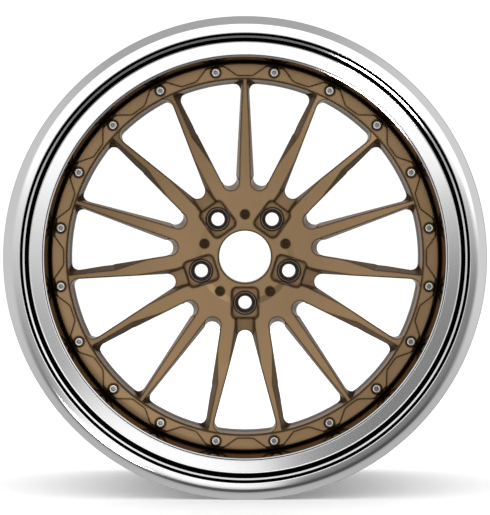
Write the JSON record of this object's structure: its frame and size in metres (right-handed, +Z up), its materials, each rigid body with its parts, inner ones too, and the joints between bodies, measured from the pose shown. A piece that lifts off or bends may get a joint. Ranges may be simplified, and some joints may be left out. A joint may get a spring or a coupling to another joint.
{
  "type": "racing wheel rim",
  "caption": "Forged modular wheel rim with a deep stepped lip, slim bronze spokes in a bolted centre, and a screw-capped tyre valve.",
  "frame": {"origin": "where the spin axis crosses the plane midway between the two rim flanges", "axes": "+Y along the spin axis towards the car, so the street face looks to -Y; +Z up, with the tyre valve at the bottom; +X to the right as seen from the street"},
  "size_m": [0.5728, 0.292, 0.5728],
  "materials": {
    "bronze_centre": "satin anodised bronze",
    "polished_lip": "mirror polished",
    "inner_barrel": "machined and clear coated",
    "sealant": "cured sealant",
    "bolt_steel": "polished stainless",
    "plated_steel": "zinc plated",
    "seat_steel": "machined steel",
    "valve_metal": "turned metal",
    "valve_rubber": "matte",
    "core_brass": "turned brass",
    "spring_steel": "drawn wire",
    "cap_plastic": "moulded"
  },
  "bodies": {
    "wheel": {"wheel_centre": "bronze_centre", "outer_rim_half": "polished_lip", "inner_rim_half": "inner_barrel", "rim_seal": "sealant", "assembly_bolts": "bolt_steel", "assembly_washers": "plated_steel", "assembly_nuts": "plated_steel", "lug_seat_1": "seat_steel", "lug_seat_2": "seat_steel", "lug_seat_3": "seat_steel", "lug_seat_4": "seat_steel", "lug_seat_5": "seat_steel", "valve_stem": "valve_metal", "valve_grommet": "valve_rubber", "valve_washer": "plated_steel", "valve_nut": "plated_steel", "valve_core_body": "core_brass", "valve_core_seal": "valve_rubber", "valve_core_spring": "spring_steel"},
    "valve_pin": {"valve_core_pin": "core_brass", "valve_plunger_seal": "valve_rubber"},
    "cap_lift": {"valve_cap_seal": "valve_rubber"},
    "cap": {"valve_cap": "cap_plastic"}
  },
  "joints": [
    {"name": "valve_pin_press", "type": "slide", "parent": "wheel", "child": "valve_pin", "axis": [0, 0, -1], "range_m": [0, 0.0015], "stiffness_N_per_m": 1000, "springref_m": -0.002, "deforming": ["valve_core_spring"]},
    {"name": "valve_cap_lift", "type": "slide", "parent": "wheel", "child": "cap_lift", "axis": [0, 0, 1], "range_m": [0, 0.00714]},
    {"name": "valve_cap_turn", "type": "hinge", "parent": "cap_lift", "child": "cap", "pos_m": [0, -0.0305, -0.2182], "axis": [0, 0, 1], "range_deg": [0, 3240]}
  ],
  "couplings": [
    {"joint": "valve_cap_turn", "follows": "valve_cap_lift", "rad_per_m": 7913.3}
  ]
}
